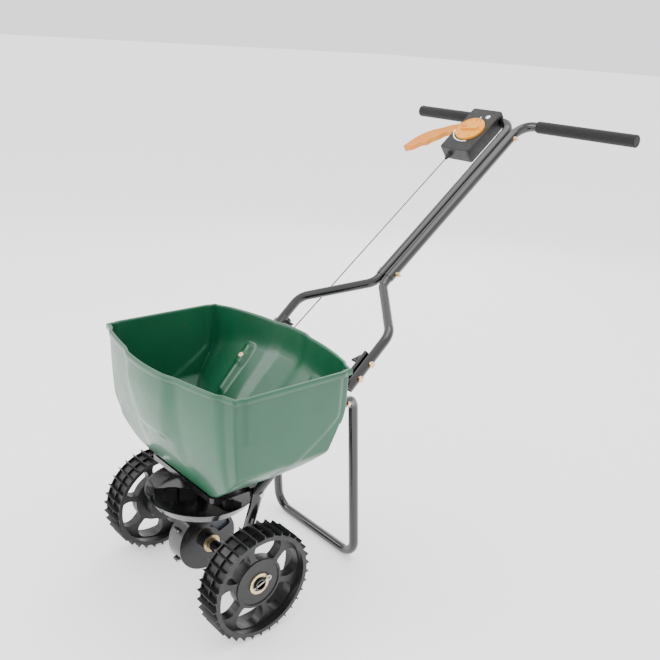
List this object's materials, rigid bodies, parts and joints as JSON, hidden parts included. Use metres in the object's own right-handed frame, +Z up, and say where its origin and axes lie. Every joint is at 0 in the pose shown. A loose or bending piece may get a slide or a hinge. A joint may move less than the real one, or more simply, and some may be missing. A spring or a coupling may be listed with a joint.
{
  "type": "push broadcast spreader",
  "caption": "Walk-behind broadcast spreader: plastic hopper over a geared impeller on a two-wheeled tube frame, with a handle carrying a setting dial and squeeze lever.",
  "frame": {"origin": "middle of the footprint box on the floor", "axes": "+X to the operator's left, +Y from the hopper towards the handle and the operator, +Z up"},
  "size_m": [0.674, 1.1108, 1.0146],
  "materials": {
    "hopper_green": "satin moulded polypropylene",
    "black_plastic": "satin moulded",
    "gloss_black_plastic": "glossy moulded",
    "black_steel": "gloss black powder coat",
    "zinc_steel": "zinc plated",
    "yellow_zinc": "yellow passivated zinc",
    "copper_bolt": "copper coloured passivation",
    "foam": "matt foam rubber",
    "orange_plastic": "satin moulded",
    "dial_plastic": "satin moulded",
    "gear_nylon": "moulded nylon",
    "bush_nylon": "moulded nylon",
    "rubber": "matt"
  },
  "bodies": {
    "frame": {"hopper": "hopper_green", "hopper_bolts": "copper_bolt", "hopper_base": "gloss_black_plastic", "base_bolts": "zinc_steel", "shaft_bushing": "bush_nylon", "leg_bushings": "bush_nylon", "gearbox_left": "gloss_black_plastic", "gearbox_right": "gloss_black_plastic", "gearbox_screws": "zinc_steel", "gearbox_rings": "yellow_zinc", "side_frame_left": "black_steel", "side_frame_right": "black_steel", "stand": "black_steel", "stand_bolts": "copper_bolt", "lower_handle_left": "black_steel", "lower_handle_right": "black_steel", "upper_handle_left": "black_steel", "upper_handle_right": "black_steel", "through_bolts": "yellow_zinc", "through_nuts": "yellow_zinc", "handle_bolts": "copper_bolt", "wing_knobs": "black_plastic", "grip_left": "foam", "grip_right": "foam", "control_box_base": "black_plastic", "control_box_cover": "black_plastic", "control_box_screws": "zinc_steel", "dial_screw": "zinc_steel", "lever_pivot_pin": "zinc_steel", "cable_boot": "rubber"},
    "drive": {"axle": "black_steel", "drive_wheel": "black_plastic", "drive_wheel_rings": "yellow_zinc", "drive_gear": "gear_nylon", "cotter_pins": "zinc_steel"},
    "idle": {"idle_wheel": "black_plastic", "idle_wheel_rings": "yellow_zinc"},
    "impeller": {"impeller": "gloss_black_plastic", "impeller_shaft": "zinc_steel", "impeller_pin": "zinc_steel", "pinion": "gear_nylon", "agitator": "zinc_steel"},
    "shutter": {"shutter": "zinc_steel"},
    "rod": {"control_rod": "black_steel"},
    "lever": {"lever": "orange_plastic", "lever_rod_pin": "zinc_steel"},
    "dial": {"dial": "dial_plastic"}
  },
  "joints": [
    {"name": "axle_spin", "type": "hinge", "parent": "frame", "child": "drive", "pos_m": [0, -0.41138, 0.12], "axis": [1, 0, 0], "continuous": true},
    {"name": "idle_wheel_spin", "type": "hinge", "parent": "frame", "child": "idle", "pos_m": [0, -0.41138, 0.12], "axis": [1, 0, 0], "continuous": true},
    {"name": "impeller_spin", "type": "hinge", "parent": "frame", "child": "impeller", "pos_m": [0, -0.41138, 0.23], "axis": [0, 0, 1], "continuous": true},
    {"name": "lever_squeeze", "type": "hinge", "parent": "frame", "child": "lever", "pos_m": [-0.072, 0.4919, 0.9582], "axis": [0, 0.6184, -0.7859], "range_deg": [0, 14], "stiffness_Nm_per_rad": 3, "springref_deg": -17.19},
    {"name": "rod_slide", "type": "slide", "parent": "frame", "child": "rod", "axis": [0, 0.7859, 0.6184], "range_m": [0, 0.0114]},
    {"name": "shutter_slide", "type": "slide", "parent": "frame", "child": "shutter", "axis": [0, 1, 0], "range_m": [0, 0.009]},
    {"name": "dial_turn", "type": "hinge", "parent": "frame", "child": "dial", "pos_m": [-0.0985, 0.46589, 0.967], "axis": [0, -0.6184, 0.7859], "range_deg": [0, 300]}
  ],
  "couplings": [
    {"joint": "impeller_spin", "follows": "axle_spin", "ratio": -4},
    {"joint": "rod_slide", "follows": "lever_squeeze", "m_per_rad": 0.045886},
    {"joint": "shutter_slide", "follows": "lever_squeeze", "m_per_rad": 0.03606}
  ]
}
